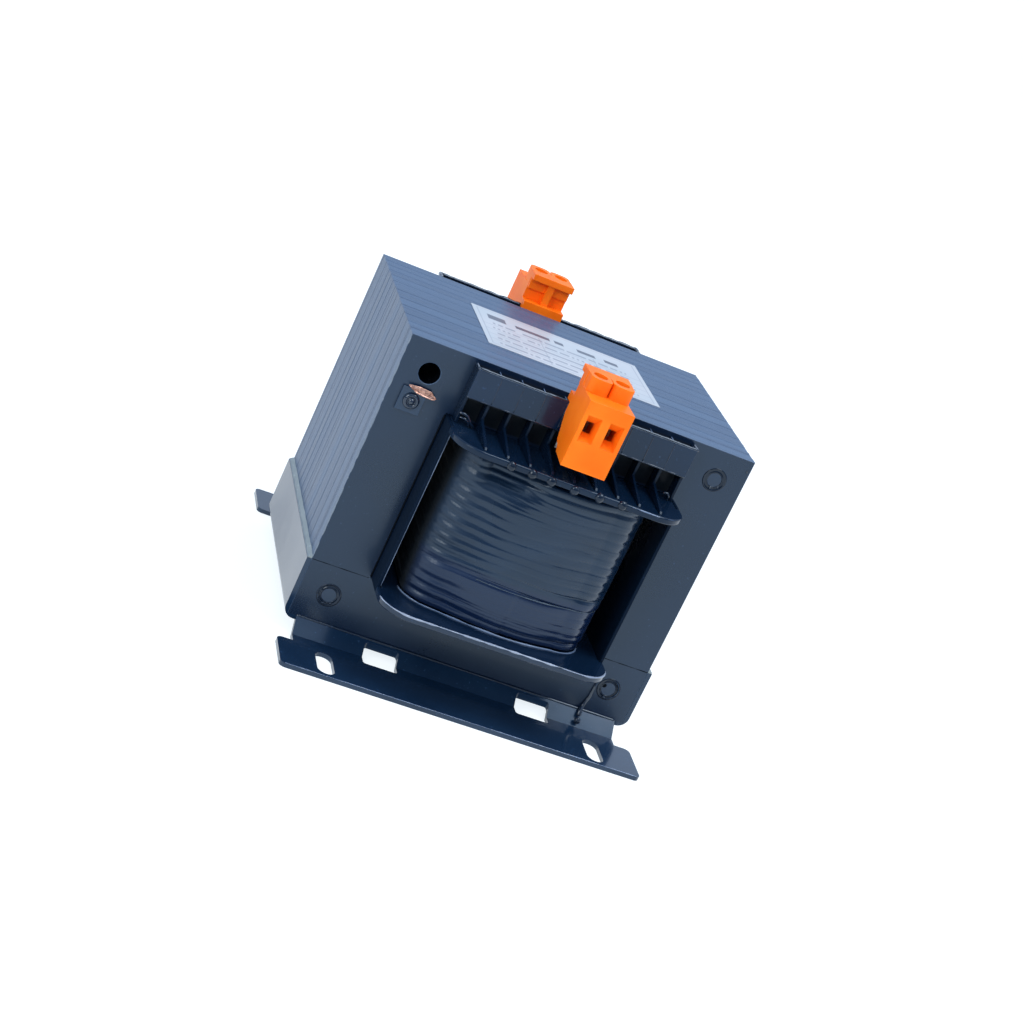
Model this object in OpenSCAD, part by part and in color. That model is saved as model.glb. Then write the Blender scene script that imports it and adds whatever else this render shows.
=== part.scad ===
// Open-frame mains transformer with an EI laminated core, a two-flange coil former,
// clip-on screw terminals and a bent sheet-steel mounting saddle.
// Millimetres, +Z up, front of the transformer towards -Y, origin on the mounting surface.

/* [Core] */
// Unit width of the lamination: outer limb, yoke and window are each one unit wide
lam_unit = 20; // [20:1:22]
// Stack depth of the laminations, front to back
stack_d = 82; // [70:1:90]
// Diameter of the four corner holes through the stack
corner_hole_d = 7; // [6:0.5:8]
// Diameter of the clamping rods in three of the corner holes
rod_d = 5.8; // [4:0.2:5.8]

/* [Saddle] */
// Thickness of the saddle sheet
sheet_t = 1.5; // [1:0.25:2]
// Height of the core's underside above the mounting surface
core_h = 6; // [5.5:0.5:10]
// Width of the foot flanges
foot_w = 125; // [122:1:130]
// Distance from the core's face to the outer edge of a foot flange
foot_reach = 27.5; // [27:0.5:31]
// Distance from the core's face to the inner edge of the foot flange ears
foot_start = 9; // [8:0.5:10]
// Height of the side ears above the core's underside
ear_h = 20; // [15:0.5:30]
// Width of the mounting slots
slot_w = 5.8; // [5:0.2:7]
// Length of the mounting slots, end to end
slot_l = 14; // [10:0.5:15]
// Distance between slot centres across the transformer
slot_span_x = 94; // [90:1:100]
// Distance from the core's face to the slot centres
slot_off = 18.5; // [17.5:0.5:19]
// Width of the rectangular windows in the joggle
joggle_window_w = 11.8; // [8:0.2:14]
// Distance of the joggle windows from the centre line
joggle_window_x = 27; // [22:0.5:32]

/* [Coil former] */
// Thickness of the flanges
flange_t = 2.2; // [1.5:0.1:3]
// How far the flanges reach out beyond the core's face
flange_reach = 25.5; // [22:0.5:28]
// Corner radius of the flanges
flange_r = 11; // [8:0.5:14]
// How far the side walls reach out beyond the core's face
wall_reach = 10.2; // [6:0.2:14]
// Thickness of the side walls
wall_t = 1.2; // [0.8:0.1:1.6]
// Pitch of the terminal compartments
pitch = 7.5; // [7:0.1:7.6]
// Number of terminal compartments on each side
compartments = 10; // [8:2:10]
// Distance of the rail's front plate from the core's face
rail_reach = 6.5; // [5:0.1:7]

/* [Winding] */
// How far the winding bulges beyond the core's face
winding_reach = 19.5; // [16:0.5:21]
// Half width of the winding between the limbs
winding_half_w = 32; // [30:0.5:36]

/* [Terminals] */
// Distance of the terminal's front face from the core's face
term_reach = 24.5; // [22:0.5:26]

/* [Hidden] */
top_reach = flange_reach - 1.6;   // the top flange stands out a little less than the bottom one
W = 6 * lam_unit;              // core width
H = 5 * lam_unit;              // core height
hd = stack_d / 2;
win_z0 = lam_unit;             // window from here ...
win_z1 = 4 * lam_unit;         // ... to here, above the core's underside
hole_in = lam_unit / 2;        // hole centres from the core's edges
gap = 0.2;
bend_r = 3.8;
neck_half = W / 2 - 3;
rail_half = compartments * pitch / 2;
rail_t = 1.2;
rail_z0 = win_z1 + 9;
rail_z1 = win_z1 + 18.7;
$fn = 48;

// ---- placement helpers -------------------------------------------------
// Places children drawn with y = 0 on the front face of the core and z = 0 on its underside.
module front_side() { translate([0, -hd, core_h]) children(); }
module rear_side() { rotate([0, 0, 180]) front_side() children(); }

// ---- core --------------------------------------------------------------
module corner_holes(list) {
  for (p = list)
    translate([p[0] * (W / 2 - hole_in), 0, core_h + (p[1] > 0 ? H - hole_in : hole_in)])
      rotate([90, 0, 0]) cylinder(h = stack_d + 2, d = corner_hole_d, center = true);
}

module e_stack() {
  color([0.20, 0.26, 0.34])
  difference() {
    translate([-W / 2, -hd, core_h + win_z0]) cube([W, stack_d, H - win_z0]);
    for (s = [-1, 1])
      translate([s > 0 ? lam_unit : -2 * lam_unit, -hd - 1, core_h + win_z0 - 1])
        cube([lam_unit, stack_d + 2, win_z1 - win_z0 + 1]);
    corner_holes([[-1, 1], [1, 1]]);
    // tapped hole for the earth screw
    front_side() translate([earth_x, 1, earth_z]) rotate([90, 0, 0]) cylinder(h = 14, d = 3.4, center = true);
  }
}

module i_stack() {
  color([0.20, 0.26, 0.34])
  difference() {
    translate([-W / 2, -hd, core_h]) cube([W, stack_d, win_z0]);
    corner_holes([[-1, -1], [1, -1]]);
  }
}

// ---- saddle ------------------------------------------------------------
// Plan outline of one foot, y measured outwards from the core's face
module foot_plan() {
  r = 2;
  translate([-foot_w / 2 + r, -foot_reach]) square([foot_w - 2 * r, foot_reach - foot_start]);
  translate([-foot_w / 2, -foot_reach + r]) square([foot_w, foot_reach - foot_start - 2 * r]);
  for (sx = [-1, 1], y = [-foot_reach + r, -foot_start - r]) translate([sx * (foot_w / 2 - r), y]) circle(r = r);
}

// Section of the sheet in the y-z plane for one foot: seat, joggle and flange
module joggle_section() {
  t = sheet_t;
  zb = -core_h;
  polygon([[2, 0], [2, -t], [0.1, -t], [-4.2, zb], [-foot_start - 2, zb], [-foot_start - 2, zb + t],
           [-4.8, zb + t], [-0.6, 0]]);
}

module slot_cut(x) {
  hull_l = slot_l - slot_w;
  translate([x, -slot_off, -core_h + sheet_t / 2]) {
    cube([slot_w, hull_l, sheet_t + 2], center = true);
    for (s = [-1, 1]) translate([0, s * hull_l / 2, 0]) cylinder(h = sheet_t + 2, d = slot_w, center = true);
  }
}

// Rounded window that runs from under the core down into the flange
module window_plan() {
  r = 1;
  hw = joggle_window_w / 2;
  square([2 * hw, 7.6 - 2 * r], center = true);
  square([2 * hw - 2 * r, 7.6], center = true);
  for (sx = [-1, 1], sy = [-1, 1]) translate([sx * (hw - r), sy * (3.8 - r)]) circle(r = r, $fn = 16);
}

// One foot with its joggle
module foot() {
  difference() {
    union() {
      translate([0, 0, -core_h]) linear_extrude(sheet_t) foot_plan();
      translate([-neck_half, 0, 0]) rotate([90, 0, 90]) linear_extrude(2 * neck_half) joggle_section();
    }
    for (s = [-1, 1]) {
      slot_cut(s * slot_span_x / 2);
      translate([s * joggle_window_x, -5, -core_h - 1]) linear_extrude(core_h + 2) window_plan();
    }
  }
}

// Cross section of the seat and the two ears, in x-z
module seat_section() {
  t = sheet_t;
  xo = W / 2 + t;
  difference() {
    union() {
      translate([-xo + bend_r, -t]) square([2 * (xo - bend_r), t]);
      for (s = [-1, 1]) {
        translate([s * (xo - bend_r), -t + bend_r]) circle(r = bend_r);
        translate([s > 0 ? W / 2 : -xo, -t + bend_r]) square([t, ear_h + t - bend_r]);
      }
    }
    translate([-W / 2, 0]) square([W, ear_h + 10]);
  }
}

module base_saddle() {
  color([0.13, 0.18, 0.27]) {
    union() {
      translate([0, hd, core_h]) rotate([90, 0, 0]) linear_extrude(stack_d) seat_section();
      front_side() foot();
      rear_side() foot();
    }
  }
}

// ---- coil former -------------------------------------------------------
module flange_plan(reach) {
  fy = hd + reach;
  fx = 2 * lam_unit - gap;
  difference() {
    union() {
      square([2 * fx, 2 * (fy - flange_r)], center = true);
      square([2 * (fx - flange_r), 2 * fy], center = true);
      for (sx = [-1, 1], sy = [-1, 1])
        translate([sx * (fx - flange_r), sy * (fy - flange_r)]) circle(r = flange_r);
    }
    square([2 * (lam_unit + gap), 2 * (hd + gap)], center = true);
    for (s = [-1, 1]) translate([s * (fx - wall_t / 2), 0]) square([wall_t + 0.001, 2 * (hd + wall_reach)], center = true);
  }
}

module bobbin_top_flange() {
  color([0.14, 0.19, 0.28])
  translate([0, 0, core_h + win_z1 - gap - flange_t]) linear_extrude(flange_t) flange_plan(top_reach);
}

module bobbin_bottom_flange() {
  color([0.14, 0.19, 0.28])
  translate([0, 0, core_h + win_z0 + gap]) linear_extrude(flange_t) flange_plan(flange_reach);
}

module bobbin_tube() {
  zi = core_h + win_z0 + gap + flange_t;
  zo = core_h + win_z1 - gap - flange_t;
  color([0.14, 0.19, 0.28])
  translate([0, 0, zi]) linear_extrude(zo - zi) difference() {
    square([2 * (lam_unit + gap + 1.5), 2 * (hd + gap + 1.5)], center = true);
    square([2 * (lam_unit + gap), 2 * (hd + gap)], center = true);
  }
}

module side_wall(s) {
  color([0.14, 0.19, 0.28])
  translate([s > 0 ? 2 * lam_unit - gap - wall_t : -2 * lam_unit + gap, -hd - wall_reach, core_h + win_z0 + gap])
    cube([wall_t, 2 * (hd + wall_reach), win_z1 - win_z0 - 2 * gap]);
}
module left_side_wall() { side_wall(-1); }
module right_side_wall() { side_wall(1); }

// Front plate of the terminal rail, standing on the dividers
module terminal_rail() {
  translate([-rail_half - 0.5, -rail_reach, rail_z0]) cube([2 * rail_half + 1, rail_t, rail_z1 - rail_z0]);
}
module front_terminal_rail() { color([0.15, 0.20, 0.29]) front_side() terminal_rail(); }
module rear_terminal_rail() { color([0.15, 0.20, 0.29]) rear_side() terminal_rail(); }

// Upright dividers between the compartments; the two outer ones close the rail's ends at full height
module rail_dividers() {
  for (k = [0 : compartments])
    translate([-rail_half + k * pitch - 0.5, -rail_reach + rail_t, win_z1 - gap])
      cube([1, rail_reach - rail_t - 0.3, rail_z1 - win_z1 + gap - (k == 0 || k == compartments ? 0 : 0.2)]);
}
module front_rail_dividers() { color([0.16, 0.21, 0.30]) front_side() rail_dividers(); }
module rear_rail_dividers() { color([0.16, 0.21, 0.30]) rear_side() rail_dividers(); }

// How far the flange reaches out from the core's face at a distance x from the centre line
function flange_edge(x) = let (c = 2 * lam_unit - gap - flange_r)
  x <= c ? top_reach : top_reach - flange_r + sqrt(flange_r * flange_r - (x - c) * (x - c));

// Low ribs that run from the dividers out along the flange, shorter at its rounded corners
module flange_ribs() {
  z0 = win_z1 - gap;
  for (k = [1 : compartments - 1]) {
    x = -rail_half + k * pitch;
    reach = flange_edge(abs(x) + 0.5);
    translate([x - 0.5, 0, 0]) rotate([90, 0, 90]) linear_extrude(1)
      polygon([[-rail_reach + rail_t, z0], [-rail_reach + rail_t, win_z1 + 3.7], [-reach + 2.6, win_z1 + 0.6], [-reach + 1.8, z0]]);
  }
}
module front_flange_ribs() { color([0.17, 0.22, 0.31]) front_side() flange_ribs(); }
module rear_flange_ribs() { color([0.17, 0.22, 0.31]) rear_side() flange_ribs(); }

// ---- windings ----------------------------------------------------------
// Plan outline of a winding layer: straight sides in the windows, crowned ends outside the core
function layer_pts(hx, reach, crown, r, n = 10) =
  let (hy = hd + reach - crown)
  concat(
    [for (i = [0 : n]) let (a = 90 * i / n) [hx - r + r * cos(a), hy - r + r * sin(a)]],
    [for (i = [1 : 2 * n - 1]) let (u = 1 - i / n) [u * (hx - r), hy + crown * (1 - u * u)]],
    [for (i = [0 : n]) let (a = 90 + 90 * i / n) [-hx + r + r * cos(a), hy - r + r * sin(a)]],
    [for (i = [0 : n]) let (a = 180 + 90 * i / n) [-hx + r + r * cos(a), -hy + r + r * sin(a)]],
    [for (i = [1 : 2 * n - 1]) let (u = i / n - 1) [u * (hx - r), -hy - crown * (1 - u * u)]],
    [for (i = [0 : n]) let (a = 270 + 90 * i / n) [hx - r + r * cos(a), -hy + r + r * sin(a)]]);

module layer(hx, reach, crown, r) { polygon(layer_pts(hx, reach, crown, r)); }

coil_z0 = core_h + win_z0 + gap + flange_t;
coil_z1 = core_h + win_z1 - gap - flange_t;
mid_hx = winding_half_w - 5.6;
mid_reach = winding_reach - 6.4;

module primary_winding() {
  color([0.45, 0.25, 0.14])
  translate([0, 0, coil_z0 + 0.6]) linear_extrude(coil_z1 - coil_z0 - 1.2) difference() {
    layer(mid_hx - 0.5, mid_reach - 0.5, 2, 6);
    square([2 * (lam_unit + gap + 1.5), 2 * (hd + gap + 1.5)], center = true);
  }
}
module interwinding_insulation() {
  color([0.75, 0.70, 0.55])
  translate([0, 0, coil_z0]) linear_extrude(coil_z1 - coil_z0) difference() {
    layer(mid_hx, mid_reach, 2, 6.5);
    layer(mid_hx - 0.5, mid_reach - 0.5, 2, 6);
  }
}
module secondary_winding() {
  color([0.13, 0.19, 0.29])
  translate([0, 0, coil_z0 + 0.6]) linear_extrude(coil_z1 - coil_z0 - 2.6) difference() {
    layer(winding_half_w, winding_reach, 3.2, 12);
    layer(mid_hx, mid_reach, 2, 6.5);
  }
}

// ---- terminals ---------------------------------------------------------
th_w = 2 * pitch;              // width over both poles
term_z0 = win_z1 + 4.5;
term_z1 = win_z1 + 26.8;       // top of the wire-entry face
term_z2 = win_z1 + 31.7;       // top of the screw towers

well_y = -12;                  // screw wells, out from the core's face
lip_z1 = rail_z1 + 3.2;        // top of the lip that sits over the rail
tower_w = 7.2;
tower_r = 2.2;

// Wire-entry block, with the lip that hooks over the rail's plate
module housing_section() {
  f = -term_reach;
  polygon([[f, term_z0], [f, term_z1], [-7.4, term_z1], [-7.4, lip_z1], [-3, lip_z1], [-3, rail_z1 + 0.3],
           [-rail_reach - 0.2, rail_z1 + 0.3], [-rail_reach - 0.2, rail_z1 - 3], [-11, rail_z0 - 1], [-13.5, rail_z0 - 2.2], [-15, term_z0 + 0.8]]);
}

// The two round-cornered screw towers, joined at the back
module tower_plan() {
  y0 = -16.6;
  for (s = [-1, 1]) translate([s * pitch / 2, 0]) {
    translate([-tower_w / 2 + tower_r, y0]) square([tower_w - 2 * tower_r, 8]);
    translate([-tower_w / 2, y0 + tower_r]) square([tower_w, 8]);
    for (t = [-1, 1]) translate([t * (tower_w / 2 - tower_r), y0 + tower_r]) circle(r = tower_r);
  }
  translate([-th_w / 2, -11]) square([th_w, 3.6]);
}

module terminal_housing() {
  difference() {
    union() {
      translate([-th_w / 2, 0, 0]) rotate([90, 0, 90]) linear_extrude(th_w) housing_section();
      translate([0, 0, term_z1 - 1]) linear_extrude(term_z2 - term_z1 + 1) tower_plan();
      // bar across the top of the inner face, and the web that divides the relief under it
      translate([-th_w / 2, -9, term_z2 - 2.2]) cube([th_w, 5, 2.2]);
      translate([-1.2, -8, lip_z1 - 0.5]) cube([2.4, 3.4, term_z2 - lip_z1]);
    }
    for (s = [-1, 1]) translate([s * pitch / 2, 0, 0]) {
      // wire entry
      translate([-2.3, -term_reach - 1, term_z0 + 9.2]) cube([4.6, 6, 8.6]);
      // clamp chamber
      translate([-2.6, -term_reach + 4.5, term_z0 + 9]) cube([5.2, 11, 9.4]);
      // screw well
      translate([0, well_y, term_z1 - 6]) cylinder(h = 14, d = 4.8);
    }
  }
}
module front_terminal_housing() { color([1.0, 0.45, 0.10]) front_side() terminal_housing(); }
module rear_terminal_housing() { color([1.0, 0.45, 0.10]) rear_side() terminal_housing(); }

// Screw head and shank standing in the screw well
module clamp_screw(s) {
  translate([s * pitch / 2, well_y, 0]) difference() {
    union() {
      translate([0, 0, term_z1 + 0.4]) cylinder(h = 2.2, d = 3.9);
      translate([0, 0, term_z0 + 12.5]) cylinder(h = term_z1 - term_z0 - 12, d = 2.5);
    }
    translate([-2.5, -0.35, term_z1 + 1.7]) cube([5, 0.7, 2]);
  }
}
module front_left_clamp_screw() { color([0.75, 0.75, 0.72]) front_side() clamp_screw(-1); }
module front_right_clamp_screw() { color([0.75, 0.75, 0.72]) front_side() clamp_screw(1); }
module rear_left_clamp_screw() { color([0.75, 0.75, 0.72]) rear_side() clamp_screw(1); }
module rear_right_clamp_screw() { color([0.75, 0.75, 0.72]) rear_side() clamp_screw(-1); }

module clamp_cages() {
  for (s = [-1, 1]) translate([s * pitch / 2, 0, 0]) difference() {
    translate([-2.1, well_y - 2.9, term_z0 + 9.2]) cube([4.2, 5.8, 8.8]);
    translate([-1.5, well_y - 4.3, term_z0 + 10.2]) cube([3, 6.4, 5.2]);
    translate([0, well_y, term_z0]) cylinder(h = 30, d = 2.7);
  }
}
module front_clamp_cages() { color([0.78, 0.76, 0.68]) front_side() clamp_cages(); }
module rear_clamp_cages() { color([0.78, 0.76, 0.68]) rear_side() clamp_cages(); }

// Flat tags that drop from the terminals into the compartments
module solder_tags() {
  for (s = [-1, 1]) translate([s * pitch / 2 - 1.2, -4.6, win_z1 + 3]) cube([2.4, 0.8, rail_z1 + 0.3 - win_z1 - 3]);
}
module front_solder_tags() { color([0.80, 0.79, 0.74]) front_side() solder_tags(); }
module rear_solder_tags() { color([0.80, 0.79, 0.74]) rear_side() solder_tags(); }

// ---- rods, earth point, label ------------------------------------------
module rod(sx, sz) {
  color([0.22, 0.28, 0.36])
  translate([sx * (W / 2 - hole_in), 0, core_h + (sz > 0 ? H - hole_in : hole_in)])
    rotate([90, 0, 0]) cylinder(h = stack_d, d = rod_d, center = true);
}
module rod_top_right() { rod(1, 1); }
module rod_bottom_left() { rod(-1, -1); }
module rod_bottom_right() { rod(1, -1); }

earth_x = -W / 2 + 8;
earth_z = H - 20;
module earth_washer() {
  color([0.30, 0.36, 0.44])
  front_side() difference() {
    translate([earth_x - 4, -0.8, earth_z - 4]) cube([8, 0.8, 8]);
    translate([earth_x, 0, earth_z]) rotate([90, 0, 0]) cylinder(h = 4, d = 3.6, center = true);
  }
}
module earth_screw() {
  color([0.55, 0.57, 0.58])
  front_side() translate([earth_x, 0, earth_z]) rotate([90, 0, 0]) difference() {
    union() {
      translate([0, 0, 0.8]) cylinder(h = 1.6, d = 5.4);
      translate([0, 0, -7]) cylinder(h = 8, d = 3.2);
    }
    translate([-3, -0.4, 1.7]) cube([6, 0.8, 2]);
  }
}
module earth_tab() {
  color([0.75, 0.50, 0.42])
  front_side() translate([earth_x, -0.8, earth_z]) rotate([90, 0, 0])
    linear_extrude(0.5) polygon([[-2.6, 5.2], [-0.3, 3.9], [1.4, 3.1], [3.9, 2.7], [6, 2.6], [6.8, 3.7], [5.2, 5.2], [4.2, 5.8], [1.4, 6.1], [0, 6.2], [-1.4, 6.2], [-2.5, 5.8]]);
}
module rating_label() {
  color([0.90, 0.92, 0.95])
  translate([-30.8, -hd + 21.8, core_h + H]) cube([61.6, 39.8, 0.15]);
}

// ---- drawing -----------------------------------------------------------
e_stack();
i_stack();
base_saddle();
bobbin_tube();
bobbin_top_flange();
bobbin_bottom_flange();
left_side_wall();
right_side_wall();
front_terminal_rail();
rear_terminal_rail();
front_rail_dividers();
rear_rail_dividers();
front_flange_ribs();
rear_flange_ribs();
primary_winding();
interwinding_insulation();
secondary_winding();
front_terminal_housing();
rear_terminal_housing();
front_left_clamp_screw();
front_right_clamp_screw();
rear_left_clamp_screw();
rear_right_clamp_screw();
front_clamp_cages();
rear_clamp_cages();
front_solder_tags();
rear_solder_tags();
rod_top_right();
rod_bottom_left();
rod_bottom_right();
earth_washer();
earth_screw();
earth_tab();
rating_label();
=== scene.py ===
import bpy, bmesh, math, random
from mathutils import Vector, Matrix, Euler, noise
from mathutils.geometry import tessellate_polygon


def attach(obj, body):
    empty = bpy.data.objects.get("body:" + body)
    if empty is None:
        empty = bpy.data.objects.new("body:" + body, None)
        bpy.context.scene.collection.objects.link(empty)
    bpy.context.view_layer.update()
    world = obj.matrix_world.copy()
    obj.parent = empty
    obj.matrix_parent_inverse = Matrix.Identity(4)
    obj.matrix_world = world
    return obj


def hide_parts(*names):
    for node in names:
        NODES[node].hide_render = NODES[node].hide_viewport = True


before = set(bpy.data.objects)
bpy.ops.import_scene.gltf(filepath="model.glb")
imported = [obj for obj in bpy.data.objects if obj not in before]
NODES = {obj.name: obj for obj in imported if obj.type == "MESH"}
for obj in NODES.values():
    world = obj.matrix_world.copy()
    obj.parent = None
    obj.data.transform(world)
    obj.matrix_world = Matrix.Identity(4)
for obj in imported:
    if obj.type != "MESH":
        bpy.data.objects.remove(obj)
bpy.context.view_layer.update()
MM = 0.001
HD = 41.0          # half stack depth
ZC = 7.5           # core underside in the drawing below
ZT = 107.5         # core top in the drawing below
DROP = 1.5         # the saddle carries the core 6 mm up, so everything drawn here goes down by this much
scene = bpy.context.scene


# ------------------------------------------------------------------ helpers
def link(o):
    scene.collection.objects.link(o)
    return o


def mesh_obj(name, verts, faces, mat=None, smooth=True, scale=MM):
    me = bpy.data.meshes.new(name)
    low = Vector((0, 0, DROP)) if scale == MM else Vector((0, 0, 0))
    me.from_pydata([(Vector(v) - low) * scale for v in verts], [], faces)
    me.validate()
    o = link(bpy.data.objects.new(name, me))
    if mat:
        me.materials.append(mat)
    for p in me.polygons:
        p.use_smooth = smooth
    return o


def bm_obj(name, bm, mat=None, smooth=True):
    me = bpy.data.meshes.new(name)
    bm.normal_update()
    bm.to_mesh(me)
    bm.free()
    o = link(bpy.data.objects.new(name, me))
    if mat:
        me.materials.append(mat)
    for p in me.polygons:
        p.use_smooth = smooth
    return o


def fix_normals(o):
    bm = bmesh.new()
    bm.from_mesh(o.data)
    bmesh.ops.recalc_face_normals(bm, faces=bm.faces)
    bm.to_mesh(o.data)
    bm.free()


def sharp_by_angle(o, deg=35):
    bm = bmesh.new()
    bm.from_mesh(o.data)
    lim = math.radians(deg)
    for e in bm.edges:
        e.smooth = not (len(e.link_faces) == 2 and e.calc_face_angle(0) > lim)
    for f in bm.faces:
        f.smooth = True
    bm.to_mesh(o.data)
    bm.free()


def place(o, slot, *replaced):
    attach(o, "root")
    if replaced:
        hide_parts(*replaced)
    return o


def clean_copy(node, name):
    """The CAD node's shape as a welded mesh with flat faces dissolved."""
    me = NODES[node].data.copy()
    me.name = name
    if me.has_custom_normals:
        me.normals_split_custom_set([(0, 0, 0)] * len(me.loops))
    bm = bmesh.new()
    bm.from_mesh(me)
    bmesh.ops.remove_doubles(bm, verts=bm.verts, dist=2e-6)
    bmesh.ops.dissolve_limit(bm, angle_limit=math.radians(0.6), verts=bm.verts, edges=bm.edges)
    bmesh.ops.recalc_face_normals(bm, faces=bm.faces)
    bm.to_mesh(me)
    bm.free()
    me.materials.clear()
    o = link(bpy.data.objects.new(name, me))
    return o


def soften(node, name, mat, slot, width=0.3, segs=2, angle=32, replace=True):
    o = clean_copy(node, name)
    o.data.materials.append(mat)
    for p in o.data.polygons:
        p.use_smooth = True
    b = o.modifiers.new("edge", "BEVEL")
    b.width = width * MM
    b.segments = segs
    b.limit_method = "ANGLE"
    b.angle_limit = math.radians(angle)
    b.harden_normals = True
    b.use_clamp_overlap = True
    sharp_by_angle(o, angle)
    place(o, slot, *([node] if replace else []))
    return o


def tube(name, pts, radii, mat, slot, seg=10, closed=False):
    """A round bead along points, each with its own radius (mm)."""
    pts = [Vector(p) for p in pts]
    n = len(pts)
    if not isinstance(radii, (list, tuple)):
        radii = [radii] * n
    verts, faces = [], []
    up = Vector((0, 0, 1))
    last = None
    for i, p in enumerate(pts):
        a = pts[(i - 1) % n] if (closed or i > 0) else p
        b = pts[(i + 1) % n] if (closed or i < n - 1) else p
        t = (b - a).normalized()
        ref = last if last is not None else (up if abs(t.dot(up)) < 0.9 else Vector((1, 0, 0)))
        u = (ref - t * ref.dot(t)).normalized()
        last = u
        w = t.cross(u)
        for k in range(seg):
            ang = 2 * math.pi * k / seg
            verts.append(p + (u * math.cos(ang) + w * math.sin(ang)) * radii[i])
    m = n if closed else n - 1
    for i in range(m):
        for k in range(seg):
            a0 = i * seg + k
            a1 = i * seg + (k + 1) % seg
            b0 = ((i + 1) % n) * seg + k
            b1 = ((i + 1) % n) * seg + (k + 1) % seg
            faces.append((a0, b0, b1, a1))
    if not closed:
        c0, c1 = len(verts), len(verts) + 1
        verts.append(pts[0] - (pts[1] - pts[0]).normalized() * radii[0] * 0.6)
        verts.append(pts[-1] + (pts[-1] - pts[-2]).normalized() * radii[-1] * 0.6)
        for k in range(seg):
            faces.append((c0, k, (k + 1) % seg))
            faces.append((c1, (n - 1) * seg + (k + 1) % seg, (n - 1) * seg + k))
    o = mesh_obj(name, verts, faces, mat)
    fix_normals(o)
    place(o, slot)
    return o


# ---------------------------------------------------------------- materials
def nt_new(name):
    m = bpy.data.materials.new(name)
    m.use_nodes = True
    t = m.node_tree
    t.nodes.clear()
    out = t.nodes.new("ShaderNodeOutputMaterial")
    bs = t.nodes.new("ShaderNodeBsdfPrincipled")
    t.links.new(bs.outputs[0], out.inputs[0])
    tc = t.nodes.new("ShaderNodeTexCoord")
    return m, t, bs, tc


def mapping(t, src, scale=(1, 1, 1), rot=(0, 0, 0)):
    n = t.nodes.new("ShaderNodeMapping")
    n.inputs["Scale"].default_value = scale
    n.inputs["Rotation"].default_value = rot
    t.links.new(src, n.inputs["Vector"])
    return n.outputs[0]


def noise_tex(t, vec, scale, detail=3, rough=0.5, dist=0.0):
    n = t.nodes.new("ShaderNodeTexNoise")
    n.inputs["Scale"].default_value = scale
    n.inputs["Detail"].default_value = detail
    n.inputs["Roughness"].default_value = rough
    n.inputs["Distortion"].default_value = dist
    t.links.new(vec, n.inputs["Vector"])
    return n.outputs["Fac"]


def ramp(t, fac, stops):
    n = t.nodes.new("ShaderNodeValToRGB")
    e = n.color_ramp.elements
    while len(e) > len(stops):
        e.remove(e[-1])
    while len(e) < len(stops):
        e.new(0.5)
    for el, (p, c) in zip(e, stops):
        el.position = p
        el.color = (*c, 1) if len(c) == 3 else c
    t.links.new(fac, n.inputs["Fac"])
    return n.outputs["Color"]


def maprange(t, v, a, b, c, d):
    n = t.nodes.new("ShaderNodeMapRange")
    n.inputs["From Min"].default_value = a
    n.inputs["From Max"].default_value = b
    n.inputs["To Min"].default_value = c
    n.inputs["To Max"].default_value = d
    t.links.new(v, n.inputs["Value"])
    return n.outputs["Result"]


def math_n(t, op, a, b=None):
    n = t.nodes.new("ShaderNodeMath")
    n.operation = op
    for i, x in enumerate((a, b)):
        if x is None:
            continue
        if isinstance(x, (int, float)):
            n.inputs[i].default_value = x
        else:
            t.links.new(x, n.inputs[i])
    return n.outputs[0]


def bump(t, h, strength, dist_mm, normal=None):
    n = t.nodes.new("ShaderNodeBump")
    n.inputs["Strength"].default_value = strength
    n.inputs["Distance"].default_value = dist_mm * MM
    t.links.new(h, n.inputs["Height"])
    if normal is not None:
        t.links.new(normal, n.inputs["Normal"])
    return n.outputs["Normal"]


def mix_col(t, fac, a, b, mode="MIX"):
    n = t.nodes.new("ShaderNodeMix")
    n.data_type = "RGBA"
    n.blend_type = mode
    for sock, v in ((n.inputs[0], fac), (n.inputs[6], a), (n.inputs[7], b)):
        if isinstance(v, (int, float)):
            sock.default_value = v
        elif isinstance(v, tuple):
            sock.default_value = (*v, 1)
        else:
            t.links.new(v, sock)
    return n.outputs[2]


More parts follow.
